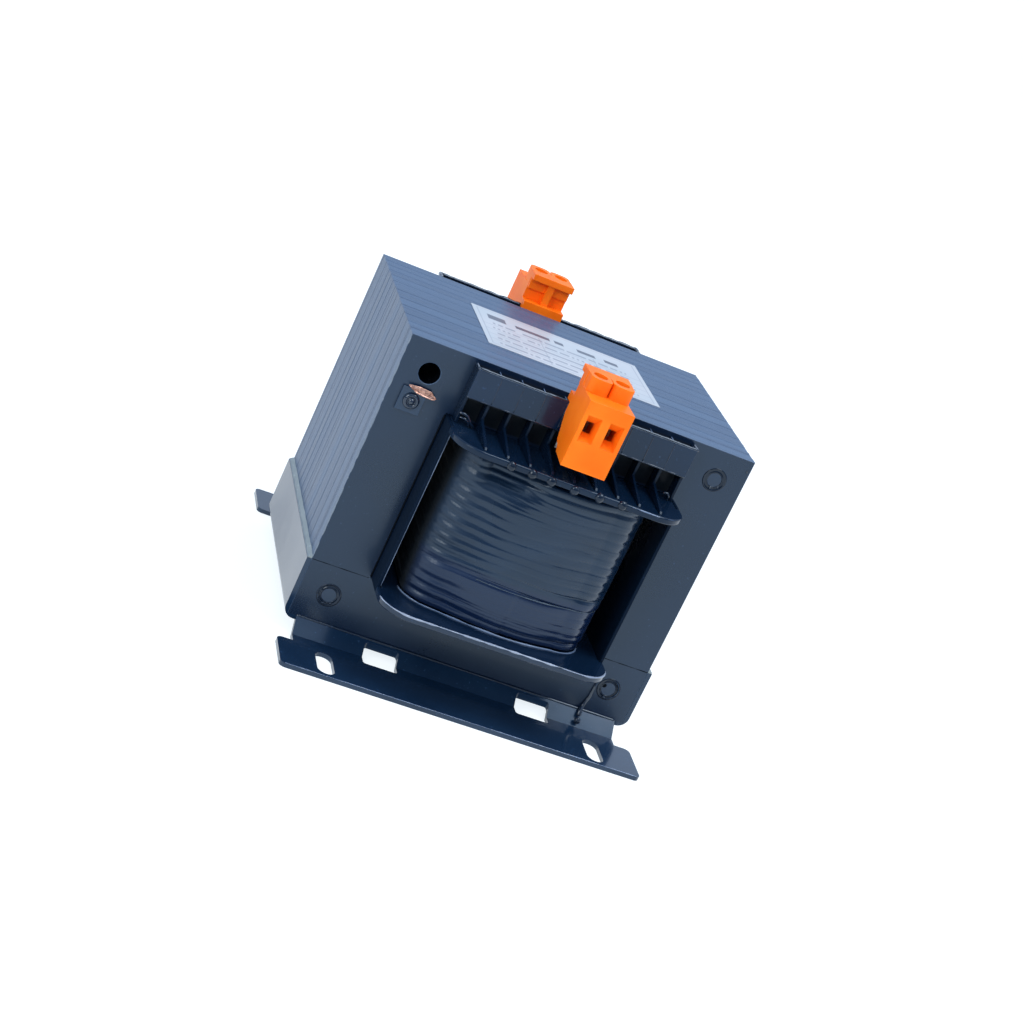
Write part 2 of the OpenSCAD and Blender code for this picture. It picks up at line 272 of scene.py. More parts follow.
def varnish(name, dark, light, rough=(0.2, 0.34), coat=0.4, blotch=38, run_bump=0.18, grain=0.06, spec=0.5, wear=None, tint=(0.68, 0.86, 1.0)):
    """Dip varnish: thick and glossy, a little uneven, with slow runs and fine dust specks in it."""
    m, t, bs, tc = nt_new(name)
    obj = tc.outputs["Object"]
    big = noise_tex(t, obj, blotch, 3, 0.55, 0.4)
    runs = noise_tex(t, mapping(t, obj, (1, 1, 0.35)), blotch * 5, 2, 0.5)
    fine = noise_tex(t, obj, 2600, 2, 0.6)
    specks = noise_tex(t, obj, 900, 1, 0.4)
    col = ramp(t, big, [(0.3, dark), (0.7, light)])
    dust = maprange(t, specks, 0.70, 0.78, 0.0, 0.5)
    col = mix_col(t, dust, col, tuple(min(1, c * 2.4 + 0.01) for c in light))
    if wear:
        g = t.nodes.new("ShaderNodeNewGeometry")
        edge = maprange(t, g.outputs["Pointiness"], 0.53, 0.62, 0.0, 0.55)
        patch = math_n(t, "MULTIPLY", edge, maprange(t, runs, 0.4, 0.6, 0.2, 1.0))
        col = mix_col(t, patch, col, wear)
    t.links.new(col, bs.inputs["Base Color"])
    r = math_n(t, "ADD", maprange(t, big, 0.3, 0.7, rough[0], rough[1]), maprange(t, fine, 0.3, 0.7, -0.03, 0.03))
    t.links.new(r, bs.inputs["Roughness"])
    bs.inputs["Coat Weight"].default_value = coat
    bs.inputs["Coat Roughness"].default_value = 0.08
    bs.inputs["IOR"].default_value = 1.45
    bs.inputs["Specular IOR Level"].default_value = spec
    bs.inputs["Specular Tint"].default_value = (*tint, 1)
    nrm = bump(t, runs, run_bump, 0.22)
    nrm = bump(t, fine, grain, 0.04, nrm)
    t.links.new(nrm, bs.inputs["Normal"])
    t.links.new(nrm, bs.inputs["Coat Normal"])
    return m


M = {}
M["former"] = varnish("former_varnish", (0.0024, 0.0100, 0.0270), (0.0055, 0.0165, 0.0400), rough=(0.12, 0.20), coat=0.40)
M["lip"] = varnish("lip_varnish", (0.0020, 0.0085, 0.0230), (0.0048, 0.0145, 0.0350), rough=(0.16, 0.26), coat=0.12, spec=0.30)
# darker copy of the former's varnish for the side walls and tube: painted shade
M["wall"] = varnish("wall_varnish_painted_shade", (0.0014, 0.0052, 0.0140), (0.0030, 0.0090, 0.0220), rough=(0.24, 0.36), coat=0.0, spec=0.07)
M["rail"] = varnish("rail_varnish", (0.0016, 0.0098, 0.0310), (0.0036, 0.0150, 0.0430), rough=(0.16, 0.26), coat=0.10, spec=0.50)
M["steel"] = varnish("steel_varnish", (0.0040, 0.0150, 0.0380), (0.0085, 0.0260, 0.0600), rough=(0.14, 0.24), coat=0.35, blotch=30, run_bump=0.10, grain=0.03)
M["bead"] = varnish("thick_varnish", (0.0030, 0.0080, 0.0200), (0.0060, 0.0140, 0.0320), rough=(0.07, 0.14), coat=0.7, run_bump=0.05, grain=0.02)
# light varnish colour for thin edge lines: painted highlights
M["rim"] = varnish("painted_edge_highlight", (0.110, 0.150, 0.200), (0.190, 0.230, 0.270), rough=(0.25, 0.4), coat=0.2, run_bump=0.1, grain=0.04)
# near-black varnish: the dark crack of the E/I joint, and painted shade in bores, creases and gaps
M["pit"] = varnish("crack_and_painted_shade_varnish", (0.0006, 0.0010, 0.0020), (0.0012, 0.0020, 0.0040), rough=(0.5, 0.6), coat=0.0, spec=0.1)
M["ring"] = varnish("ring_varnish", (0.0016, 0.0055, 0.0140), (0.0035, 0.0100, 0.0240), rough=(0.08, 0.15), coat=0.35, run_bump=0.05, grain=0.02, spec=0.3)
# darker copy of the former's varnish for the ribs and dividers: painted shade for the shaded compartments
M["rib"] = varnish("rib_varnish_painted_shade", (0.0014, 0.0060, 0.0170), (0.0032, 0.0105, 0.0270), rough=(0.20, 0.30), coat=0.05, spec=0.22)
# light varnish colour for thin lines: painted highlights on edges
M["glint"] = varnish("painted_glint_line", (0.080, 0.125, 0.210), (0.170, 0.230, 0.340), rough=(0.14, 0.24), coat=0.3, run_bump=0.08, grain=0.02, tint=(1, 1, 1))
# light varnish colour for the coil's shoulder line: painted highlight
M["shoulder"] = varnish("painted_shoulder_highlight", (0.030, 0.046, 0.070), (0.060, 0.080, 0.105), rough=(0.2, 0.3), coat=0.1, run_bump=0.1, grain=0.04)
# light varnish colour for the lower lip's line: painted highlight
M["lipline"] = varnish("painted_lip_highlight", (0.140, 0.180, 0.260), (0.330, 0.380, 0.470), rough=(0.12, 0.22), coat=0.4, run_bump=0.08, grain=0.02, tint=(1, 1, 1))
# pale varnish colour for the ears' fillets: painted highlight on their tops
M["fillet"] = varnish("fillet_varnish_painted_highlight", (0.216, 0.262, 0.272), (0.302, 0.342, 0.342), rough=(0.28, 0.4), coat=0.0, run_bump=0.1, grain=0.04, spec=0.3, tint=(1, 1, 1))
M["face"] = varnish("core_face_varnish", (0.0020, 0.0090, 0.0270), (0.0060, 0.0160, 0.0400), rough=(0.26, 0.38), coat=0.10, blotch=24, run_bump=0.08, grain=0.05, spec=0.72)


def painted_pocket_shade(m, half, z0, z1):
    """Painted shade: the core's face in the pockets behind the terminal rails is darkened to nearly black, and its
    roughness is raised.
    """
    t = m.node_tree
    bs = t.nodes["Principled BSDF"]
    sep = t.nodes.new("ShaderNodeSeparateXYZ")
    co = t.nodes.new("ShaderNodeTexCoord")
    t.links.new(co.outputs["Object"], sep.inputs[0])
    k = maprange(t, math_n(t, "ABSOLUTE", sep.outputs["X"]), half + 0.0004, half - 0.0004, 0.0, 1.0)
    k = math_n(t, "MULTIPLY", k, maprange(t, sep.outputs["Z"], z0, z0 + 0.0006, 0.0, 1.0))
    k = math_n(t, "MULTIPLY", k, maprange(t, sep.outputs["Z"], z1, z1 - 0.0010, 0.0, 1.0))
    col = bs.inputs["Base Color"].links[0].from_socket
    t.links.new(mix_col(t, k, col, (0.0008, 0.0016, 0.0036)), bs.inputs["Base Color"])
    r = bs.inputs["Roughness"].links[0].from_socket
    t.links.new(math_n(t, "ADD", r, math_n(t, "MULTIPLY", k, 0.5)), bs.inputs["Roughness"])


# painted shade on the core's face behind the terminal rails
painted_pocket_shade(M["face"], 0.0376, 0.0862, 0.1046)


def thin_coat_on_ears(m, coat):
    """The top coat of varnish drained off the ears' outer faces towards their far ends."""
    t = m.node_tree
    bs = t.nodes["Principled BSDF"]
    sep = t.nodes.new("ShaderNodeSeparateXYZ")
    co = t.nodes.new("ShaderNodeTexCoord")
    t.links.new(co.outputs["Object"], sep.inputs[0])
    k = maprange(t, math_n(t, "ABSOLUTE", sep.outputs["X"]), 0.0611, 0.0614, 0.0, 1.0)
    k = math_n(t, "MULTIPLY", k, maprange(t, sep.outputs["Z"], 0.0045, 0.0060, 0.0, 1.0))
    far = math_n(t, "MULTIPLY", sep.outputs["X"], sep.outputs["Y"])
    k = math_n(t, "MULTIPLY", k, maprange(t, far, 0.0018, -0.0007, 0.0, 1.0))
    t.links.new(math_n(t, "MULTIPLY", math_n(t, "SUBTRACT", 1.0, k), coat), bs.inputs["Coat Weight"])


thin_coat_on_ears(M["steel"], 0.35)


def edge_material():
    """Cut edges of the stacked sheets under a thin varnish: a slightly different tone on every group of sheets."""
    m, t, bs, tc = nt_new("core_edge_varnish")
    obj = tc.outputs["Object"]
    sep = t.nodes.new("ShaderNodeSeparateXYZ")
    t.links.new(obj, sep.inputs[0])
    y = sep.outputs["Y"]

    def bands(pitch_mm, off):
        k = math_n(t, "FLOOR", math_n(t, "MULTIPLY", math_n(t, "ADD", y, off), 1000.0 / pitch_mm))
        w = t.nodes.new("ShaderNodeTexWhiteNoise")
        w.noise_dimensions = "1D"
        t.links.new(k, w.inputs["W"])
        return w.outputs["Value"]

    groups = bands(3.6, 0.1)
    middle = bands(1.7, 0.7)
    sheets = bands(0.5, 0.3)
    streak = noise_tex(t, mapping(t, obj, (0.012, 1, 0.012)), 620, 2, 0.5)
    cloud = noise_tex(t, obj, 20, 2, 0.5)
    tone = math_n(t, "ADD", math_n(t, "MULTIPLY", groups, 0.36), math_n(t, "MULTIPLY", sheets, 0.06))
    tone = math_n(t, "ADD", tone, math_n(t, "MULTIPLY", middle, 0.20))
    tone = math_n(t, "ADD", tone, math_n(t, "MULTIPLY", streak, 0.12))
    tone = math_n(t, "ADD", tone, math_n(t, "MULTIPLY", cloud, 0.26))
    col = ramp(t, tone, [(0.25, (0.040, 0.074, 0.134)), (0.5, (0.055, 0.096, 0.166)), (0.75, (0.071, 0.119, 0.196))])
    t.links.new(col, bs.inputs["Base Color"])
    t.links.new(maprange(t, tone, 0.2, 0.8, 0.27, 0.38), bs.inputs["Roughness"])
    bs.inputs["Coat Weight"].default_value = 0.03
    bs.inputs["Coat Roughness"].default_value = 0.2
    bs.inputs["Specular IOR Level"].default_value = 0.15
    nrm = bump(t, noise_tex(t, obj, 1500, 2, 0.6), 0.05, 0.04)
    t.links.new(nrm, bs.inputs["Normal"])
    t.links.new(nrm, bs.inputs["Coat Normal"])
    return m


M["edge"] = edge_material()


def plastic():
    m, t, bs, tc = nt_new("terminal_moulding")
    obj = tc.outputs["Object"]
    big = noise_tex(t, obj, 90, 2)
    fine = noise_tex(t, obj, 5000, 2, 0.6)
    col = ramp(t, big, [(0.3, (0.94, 0.150, 0.004)), (0.7, (1.0, 0.195, 0.008))])
    t.links.new(col, bs.inputs["Base Color"])
    t.links.new(maprange(t, fine, 0.3, 0.7, 0.38, 0.5), bs.inputs["Roughness"])
    bs.inputs["Specular IOR Level"].default_value = 0.14
    bs.inputs["Subsurface Weight"].default_value = 0.12
    bs.inputs["Subsurface Radius"].default_value = (0.004, 0.0012, 0.0003)
    bs.inputs["Subsurface Scale"].default_value = 1.0
    t.links.new(bump(t, fine, 0.15, 0.04), bs.inputs["Normal"])
    return m


M["plastic"] = plastic()


def metal(name, lo, hi, rough=(0.28, 0.45), scale=500):
    m, t, bs, tc = nt_new(name)
    obj = tc.outputs["Object"]
    a = noise_tex(t, obj, scale, 4, 0.6)
    t.links.new(ramp(t, a, [(0.3, lo), (0.7, hi)]), bs.inputs["Base Color"])
    t.links.new(maprange(t, a, 0.3, 0.7, rough[0], rough[1]), bs.inputs["Roughness"])
    bs.inputs["Metallic"].default_value = 0.95
    t.links.new(bump(t, noise_tex(t, obj, scale * 6, 2), 0.2, 0.03), bs.inputs["Normal"])
    return m


M["zinc"] = metal("zinc_plating", (0.50, 0.50, 0.48), (0.70, 0.69, 0.66))
M["cage"] = metal("cage_plating", (0.42, 0.40, 0.34), (0.60, 0.57, 0.48))
M["copper"] = metal("torn_copper", (0.30, 0.125, 0.085), (0.74, 0.46, 0.36), rough=(0.26, 0.4), scale=520)


def label_material():
    """Plain film label: satin white with very faint ruled lines and scuffs."""
    m, t, bs, tc = nt_new("label_film")
    obj = tc.outputs["Object"]
    sep = t.nodes.new("ShaderNodeSeparateXYZ")
    t.links.new(obj, sep.inputs[0])
    cloud = noise_tex(t, obj, 45, 3)
    base = ramp(t, cloud, [(0.3, (0.39, 0.43, 0.46)), (0.7, (0.47, 0.475, 0.50))])

    def rows(axis, pitch_mm, duty, origin_mm):
        """1 on the ruled lines, 0 between them."""
        v = math_n(t, "MULTIPLY", math_n(t, "ADD", sep.outputs[axis], origin_mm * MM), 1000.0 / pitch_mm)
        return math_n(t, "LESS_THAN", math_n(t, "FRACT", v), duty)

    def between(axis, a, b):
        """1 from a to b (mm), 0 outside."""
        v = sep.outputs[axis]
        return math_n(t, "MULTIPLY", math_n(t, "GREATER_THAN", v, a * MM), math_n(t, "LESS_THAN", v, b * MM))

    def both(a, b):
        return math_n(t, "MULTIPLY", a, b)

    inner = both(between("X", -29.2, 29.2), between("Y", -17.6, 19.0))
    core_ = both(between("X", -28.8, 28.8), between("Y", -17.2, 18.6))
    frame_line = math_n(t, "SUBTRACT", inner, core_)
    lines = both(both(rows("Y", 5.1, 0.075, 17.2), between("Y", -16.0, 8.0)), between("X", -28.8, 28.8))
    cols = both(math_n(t, "ADD", between("X", -8.2, -7.8), between("X", 12.0, 12.4)), between("Y", -17.2, 8.5))
    ink = math_n(t, "MINIMUM", math_n(t, "ADD", frame_line, math_n(t, "ADD", lines, cols)), 1.0)

    def dashes(pitch_mm, height, step_mm, share, x0, x1, y0, y1):
        """Rows of plain grey dashes, like the greeked lines of a blank form."""
        yy = math_n(t, "MULTIPLY", math_n(t, "ADD", sep.outputs["Y"], 17.2 * MM), 1000.0 / pitch_mm)
        part = math_n(t, "FRACT", yy)
        band = both(math_n(t, "GREATER_THAN", part, 0.34), math_n(t, "LESS_THAN", part, 0.34 + height))
        cell = math_n(t, "FLOOR", math_n(t, "MULTIPLY", sep.outputs["X"], 1000.0 / step_mm))
        seed = math_n(t, "ADD", cell, math_n(t, "MULTIPLY", math_n(t, "FLOOR", yy), 37.3))
        w = t.nodes.new("ShaderNodeTexWhiteNoise")
        w.noise_dimensions = "1D"
        t.links.new(seed, w.inputs["W"])
        on = math_n(t, "LESS_THAN", w.outputs["Value"], share)
        return both(both(band, on), both(between("X", x0, x1), between("Y", y0, y1)))

    small = dashes(5.1, 0.30, 0.9, 0.72, -26.0, 24.0, -16.5, 7.6)
    large = dashes(5.1, 0.56, 1.7, 0.80, -16.0, 25.0, 8.4, 13.2)
    mark = both(between("X", -26.0, -19.5), between("Y", 10.0, 14.6))
    base = mix_col(t, math_n(t, "MULTIPLY", small, 0.62), base, (0.11, 0.13, 0.18))
    base = mix_col(t, math_n(t, "MULTIPLY", math_n(t, "MAXIMUM", large, mark), 0.92), base, (0.05, 0.06, 0.09))
    base = mix_col(t, math_n(t, "MULTIPLY", ink, 0.5), base, (0.16, 0.19, 0.24))
    t.links.new(base, bs.inputs["Base Color"])
    t.links.new(maprange(t, cloud, 0.3, 0.7, 0.28, 0.4), bs.inputs["Roughness"])
    t.links.new(bump(t, noise_tex(t, obj, 3000, 2), 0.08, 0.03), bs.inputs["Normal"])
    return m


M["label"] = label_material()

# ---------------------------------------------------------------- the stack
rnd = random.Random(7)
PITCH = 0.5
NSH = int(2 * HD / PITCH)


def group_offsets(seed, amp_group=0.07, amp_sheet=0.035):
    r = random.Random(seed)
    out = []
    sign = 1
    left = 0
    base = 0
    for i in range(NSH):
        if left <= 0:
            left = r.choice((4, 6, 7, 8, 8, 9, 11))
            sign = -sign
            base = amp_group * (0.5 + 0.5 * sign) * r.uniform(0.6, 1.0)
        left -= 1
        out.append(base + (r.uniform(0.3, 1) * amp_sheet if r.random() < 0.10 else 0))
    return out


def circle(cx, cz, r, n=32):
    return [(cx + r * math.cos(2 * math.pi * k / n), cz + r * math.sin(2 * math.pi * k / n)) for k in range(n)]


def stack(name, outline, holes, seed, mats, joint):
    """Sheets between two flat faces. outline and holes are x-z loops; only the outer sides of the outline step in and out."""
    dl, dr, dt = group_offsets(seed), group_offsets(seed + 1), group_offsets(seed + 2)
    verts, faces, fm = [], [], []
    n = len(outline)

    def ring(y, l, r, tt):
        i0 = len(verts)
        end = abs(abs(y) - HD) < 1e-6
        for x, z in outline:
            if end and abs(z - zj) < 1e-6 and abs(x) > 39:
                z += 0.06 * joint
            if abs(x + 60) < 1e-6:
                x += l
            if abs(x - 60) < 1e-6:
                x -= r
            if abs(z - ZT) < 1e-6:
                z -= tt
            verts.append((x, y, z))
        return i0

    rings = []
    for i in range(NSH):
        y0, y1 = -HD + i * PITCH, -HD + (i + 1) * PITCH
        l, r, tt = dl[i], dr[i], dt[i]
        c = 0.07
        if i == 0:
            rings.append(ring(y0, l + c * 1.5, r + c * 1.5, tt + c * 1.5))
            rings.append(ring(y0 + c * 1.5, l, r, tt))
        else:
            rings.append(ring(y0 + c, l, r, tt))
        rings.append(ring(y1 - (c if i < NSH - 1 else c * 1.5), l, r, tt))
        if i < NSH - 1:
            m = [max(a, b) + (0.05 if abs(a - b) > 0.03 else 0.012) for a, b in ((l, dl[i + 1]), (r, dr[i + 1]), (tt, dt[i + 1]))]
            rings.append(ring(y1, *m))
        else:
            rings.append(ring(y1, l + c * 1.5, r + c * 1.5, tt + c * 1.5))
    for a, b in zip(rings, rings[1:]):
        for k in range(n):
            j = (k + 1) % n
            faces.append((a + k, a + j, b + j, b + k))
            fm.append(1)
    # hole walls, painted near-black shade inside the bore
    hole_loops = []
    for hx, hz, hr in holes:
        loops = []
        r2 = random.Random(int(hx * 7 + hz * 3))
        ys = [-HD, -HD + 0.15] + [-HD + 0.5 + 1.0 * k for k in range(int(2 * HD) - 1)] + [HD - 0.15, HD]
        for y in ys:
            end = abs(abs(y) - HD) < 1e-6
            rr = hr + (0.15 if end else 0.0) - (0 if end else r2.uniform(0, 0.05))
            i0 = len(verts)
            verts.extend((x, y, z) for x, z in circle(hx, hz, rr))
            loops.append(i0)
        for a, b in zip(loops, loops[1:]):
            for k in range(32):
                j = (k + 1) % 32
                faces.append((a + j, a + k, b + k, b + j))
                fm.append(1 if a in (loops[0], loops[-2]) else 2)
        hole_loops.append((loops[0], loops[-1]))
    # end faces
    for end, r0 in ((0, rings[0]), (1, rings[-1])):
        idx = list(range(r0, r0 + n))
        loops = [[Vector((verts[i][0], verts[i][2], 0)) for i in idx]]
        for h in hole_loops:
            hi = list(range(h[end], h[end] + 32))
            idx += hi
            loops.append([Vector((verts[i][0], verts[i][2], 0)) for i in hi])
        for tri in tessellate_polygon(loops):
            faces.append(tuple(idx[i] for i in tri))
            fm.append(0)
    o = mesh_obj(name, verts, faces, None, smooth=False)
    for m in mats:
        o.data.materials.append(m)
    for p, k in zip(o.data.polygons, fm):
        p.material_index = k
    fix_normals(o)
    return o


zj = ZC + 20
e_out = [(-60, zj), (-60, ZT), (60, ZT), (60, zj), (40, zj), (40, ZC + 80), (20, ZC + 80), (20, zj), (-20, zj), (-20, ZC + 80), (-40, ZC + 80), (-40, zj)]
i_out = [(-60, ZC), (-60, zj), (60, zj), (60, ZC)]
e_stack = stack("e_laminations", e_out, [(-50, 97.5, 3.5), (50, 97.5, 3.5)], 11, (M["face"], M["edge"], M["pit"]), 1)
i_stack = stack("i_laminations", i_out, [(-50, 17.5, 3.5), (50, 17.5, 3.5)], 11, (M["face"], M["edge"], M["pit"]), -1)
place(e_stack, "varnished_laminations", "e_stack")
place(i_stack, "varnished_laminations", "i_stack")

# ---------------------------------------------------------- saddle and former
saddle = soften("base_saddle", "mounting_saddle", M["steel"], "varnished_steel", 0.55, 3, 20)
for n_, w_, m_ in (("bobbin_top_flange", 1.0, "lip"), ("bobbin_bottom_flange", 1.05, "former")):
    soften(n_, n_ + "_moulding", M[m_], "varnished_former", w_, 6, 40)
# side walls and tube take the darker, painted-shade copy of the varnish
for n_ in ("left_side_wall", "right_side_wall", "bobbin_tube"):
    soften(n_, n_ + "_moulding", M["wall"], "varnished_former", 0.35, 3)
for n_ in ("front_terminal_rail", "rear_terminal_rail"):
    soften(n_, n_ + "_moulding", M["rail"], "varnished_former", 0.3, 3)
# ribs and dividers take the darker, painted-shade copy of the varnish
for n_ in ("front_rail_dividers", "rear_rail_dividers", "front_flange_ribs", "rear_flange_ribs"):
    soften(n_, n_ + "_moulding", M["rib"], "varnished_former", 0.22, 3)

# --------------------------------------------------------------------- winding
def layer_pts(hx, reach, crown, r, n=10):
    hy = HD + reach - crown
    P = []
    for i in range(n + 1):
        a = math.radians(90 * i / n)
        P.append((hx - r + r * math.cos(a), hy - r + r * math.sin(a)))
    for i in range(1, 2 * n):
        u = 1 - i / n
        P.append((u * (hx - r), hy + crown * (1 - u * u)))
    for i in range(n + 1):
        a = math.radians(90 + 90 * i / n)
        P.append((-hx + r + r * math.cos(a), hy - r + r * math.sin(a)))
    for i in range(n + 1):
        a = math.radians(180 + 90 * i / n)
        P.append((-hx + r + r * math.cos(a), -hy + r + r * math.sin(a)))
    for i in range(1, 2 * n):
        u = i / n - 1
        P.append((u * (hx - r), -hy - crown * (1 - u * u)))
    for i in range(n + 1):
        a = math.radians(270 + 90 * i / n)
        P.append((hx - r + r * math.cos(a), -hy + r + r * math.sin(a)))
    return P


COIL_Z0 = ZC + 20 + 0.2 + 2.2
COIL_Z1 = ZC + 80 - 0.2 - 2.2


def resample(P, n):
    L = [0]
    m = len(P)
    for i in range(m):
        a, b = P[i], P[(i + 1) % m]
        L.append(L[-1] + math.hypot(b[0] - a[0], b[1] - a[1]))
    tot = L[-1]
    out = []
    j = 0
    for k in range(n):
        s = tot * k / n
        while L[j + 1] < s:
            j += 1
        a, b = P[j], P[(j + 1) % m]
        f = (s - L[j]) / max(1e-9, L[j + 1] - L[j])
        out.append((a[0] + (b[0] - a[0]) * f, a[1] + (b[1] - a[1]) * f))
    return out


# Height of each boundary between turns, how deep it is at the left, in the middle and at the right
TURNS = [(30.3, 0.35, 0.35, 0.45), (33.3, 0.75, 0.30, 0.95), (36.4, 0.70, 0.14, 0.25), (39.6, 0.60, 0.10, 0.20), (42.8, 0.22, 0.06, 0.15),
         (46.0, 0.95, 0.85, 0.20), (49.6, 0.80, 0.30, 1.00), (52.7, 0.75, 0.20, 0.32), (55.8, 0.70, 0.16, 0.35), (58.9, 0.80, 0.18, 0.32),
         (62.0, 0.75, 0.14, 0.36), (65.1, 0.85, 0.16, 0.30), (68.2, 0.80, 0.12, 0.34), (71.3, 0.85, 0.20, 0.28), (74.6, 0.30, 0.10, 0.24),
         (77.8, 0.75, 0.30, 0.25), (80.3, 0.80, 0.50, 0.90), (83.0, 0.9, 0.9, 0.9)]


def band_offset(z):
    """Whole groups of turns stand out more or less than the ones above."""
    steps = ((33.3, -0.95), (46.0, -0.55), (49.6, -0.25), (80.3, 0.0))
    v = 0.0
    for edge, below in reversed(steps):
        k = min(1, max(0, (z - edge) / 0.5 + 0.5))
        v = below + (v - below) * k
    return v


def winding_varnish():
    """Thick gloss over the wire; deep in the window the coil's sides get painted shade: near black, and rougher."""
    m, t, bs, tc = nt_new("winding_varnish")
    obj = tc.outputs["Object"]
    sep = t.nodes.new("ShaderNodeSeparateXYZ")
    t.links.new(obj, sep.inputs[0])
    deep = maprange(t, math_n(t, "ABSOLUTE", sep.outputs["Y"]), 0.0515, 0.0480, 0.0, 1.0)
    cloud = noise_tex(t, mapping(t, obj, (1, 1, 2.5)), 55, 3, 0.5, 0.3)
    turns = noise_tex(t, mapping(t, obj, (0.5, 0.5, 9)), 120, 2, 0.5)
    fine = noise_tex(t, obj, 2400, 2, 0.6)
    col = ramp(t, cloud, [(0.3, (0.0022, 0.0100, 0.0270)), (0.7, (0.0055, 0.0175, 0.0420))])
    col = mix_col(t, maprange(t, turns, 0.55, 0.72, 0.0, 0.5), col, (0.0100, 0.0230, 0.0440))
    low = maprange(t, sep.outputs["Z"], 0.0472, 0.0455, 0.0, 0.7)
    col = mix_col(t, low, col, (0.0022, 0.0090, 0.0400))
    # painted shade on the coil's sides deep in the window
    col = mix_col(t, deep, col, (0.0020, 0.0030, 0.0060))
    t.links.new(col, bs.inputs["Base Color"])
    r = math_n(t, "ADD", maprange(t, cloud, 0.3, 0.7, 0.19, 0.29), math_n(t, "MULTIPLY", deep, 0.55))
    side = math_n(t, "MULTIPLY", sep.outputs["X"], math_n(t, "SIGN", sep.outputs["Y"]))
    r = math_n(t, "ADD", r, maprange(t, side, 0.015, 0.026, 0.0, 0.17))
    t.links.new(r, bs.inputs["Roughness"])
    bs.inputs["Specular IOR Level"].default_value = 0.60
    bs.inputs["Specular Tint"].default_value = (0.68, 0.86, 1.0, 1)
    bs.inputs["Coat Weight"].default_value = 0.12
    bs.inputs["Coat Roughness"].default_value = 0.1
    bs.inputs["IOR"].default_value = 1.45
    nrm = bump(t, turns, 0.16, 0.12)
    nrm = bump(t, fine, 0.05, 0.04, nrm)
    t.links.new(nrm, bs.inputs["Normal"])
    return m


def spread(x, y, by):
    """The coil bulges a little more at the left of each end than at the right."""
    side = x if y < 0 else -x
    w = min(1, max(0, (-side - 8) / 22))
    v = min(1, max(0, (abs(y) - 30) / 12))
    k = by * w * w * (3 - 2 * w) * v * v * (3 - 2 * v)
    return (x - k if y < 0 else x + k, y)


def lean_in(side):
    w = min(1, max(0, (14 - side) / 26))
    return 0.05 * w * w * (3 - 2 * w)


def winding():
    base = resample([spread(x, y, 1.5) for x, y in layer_pts(32, 19.5, 3.2, 12)], 420)
    n = len(base)
    nrm = []
    for i in range(n):
        a, b = base[i - 1], base[(i + 1) % n]
        nrm.append(Vector((b[1] - a[1], -(b[0] - a[0]))).normalized())
    z0, z1 = COIL_Z0 + 0.5, COIL_Z1 - 1.9
    rows = 210
    verts, faces = [], []
    for r in range(rows + 1):
        z = z0 + (z1 - z0) * r / rows
        for i in range(n):
            x, y = base[i]
            side = x if y < 0 else -x              # the two ends of the coil are alike, turned half round
            zz = z + noise.noise(Vector((x * 0.045 + 3, y * 0.03, z * 0.09))) * 0.9
            k = 0
            while k < len(TURNS) - 2 and zz >= TURNS[k + 1][0]:
                k += 1
            f = min(1, max(0, (zz - TURNS[k][0]) / (TURNS[k + 1][0] - TURNS[k][0])))

            def depth(t):
                if side < 0:
                    w = min(1, max(0, (-side - 6) / 20))
                    return t[2] + (t[1] - t[2]) * (w * w * (3 - 2 * w))
                w = min(1, max(0, (side - 8) / 18))
                e = min(1, max(0, (side - 24) / 6))
                d0 = t[2] + (t[3] * 0.8 - t[2]) * (w * w * (3 - 2 * w))
                return d0 + (max(t[3], 0.95) - d0) * e * e

            wl = min(1, max(0, (-side - 1) / 13))

            def groove(q):
                """1 on a boundary between turns, falling away from it: a narrow nick, or a wide round hollow at the left."""
                return (1 - q) ** 2.2 * (1 - wl) + (0.5 + 0.5 * math.cos(math.pi * min(1, q * 1.2))) ** 1.3 * wl

            g = depth(TURNS[k]) * groove(f) + depth(TURNS[k + 1]) * groove(1 - f)
            lump = noise.noise(Vector((x * 0.06, y * 0.06, k * 2.9))) * 0.14
            lump += noise.noise(Vector((x * 0.035, 7.0, zz * 1.5))) * 0.07
            inside = min(1, max(0, (54 - abs(y)) / 4))
            g *= 1 - 0.85 * inside
            d = -0.36 - 0.95 * g * (1 + 0.15 * wl) + lump + band_offset(zz) * (1.0 if side > 0 else 0.45)
            # a strip of film leans back under the top flange
            film = min(1, max(0, (side + 27) / 4)) * min(1, max(0, (-4 - side) / 8))
            d -= film * 0.36 * max(0, zz - 71.5)
            # the lowest turns lean in towards the foot, most at the left
            d -= lean_in(side) * max(0, 46 - zz)
            tip = min(1, max(0, (z1 - z) / 0.7)) * min(1, max(0, (z - z0) / 0.7))
            d -= 0.7 * (1 - tip) ** 2
            d = min(d, -0.06)
            verts.append((x + nrm[i].x * d, y + nrm[i].y * d, z))
    for r in range(rows):
        for i in range(n):
            j = (i + 1) % n
            a, b = r * n + i, r * n + j
            faces.append((a, b, b + n, a + n))
    inner = resample(layer_pts(26.4, 13.1, 2, 6.5), n)
    t0 = len(verts)
    verts += [(x, y, z0) for x, y in inner]
    t1 = len(verts)
    verts += [(x, y, z1) for x, y in inner]
    top = rows * n
    for i in range(n):
        j = (i + 1) % n
        faces.append((t0 + i, t0 + j, j, i))
        faces.append((top + i, top + j, t1 + j, t1 + i))
        faces.append((t0 + j, t0 + i, t1 + i, t1 + j))
    o = mesh_obj("outer_winding", verts, faces, M["wind"])
    fix_normals(o)
    sharp_by_angle(o, 60)
    return o


M["wind"] = winding_varnish()
place(winding(), "varnished_winding", "secondary_winding")

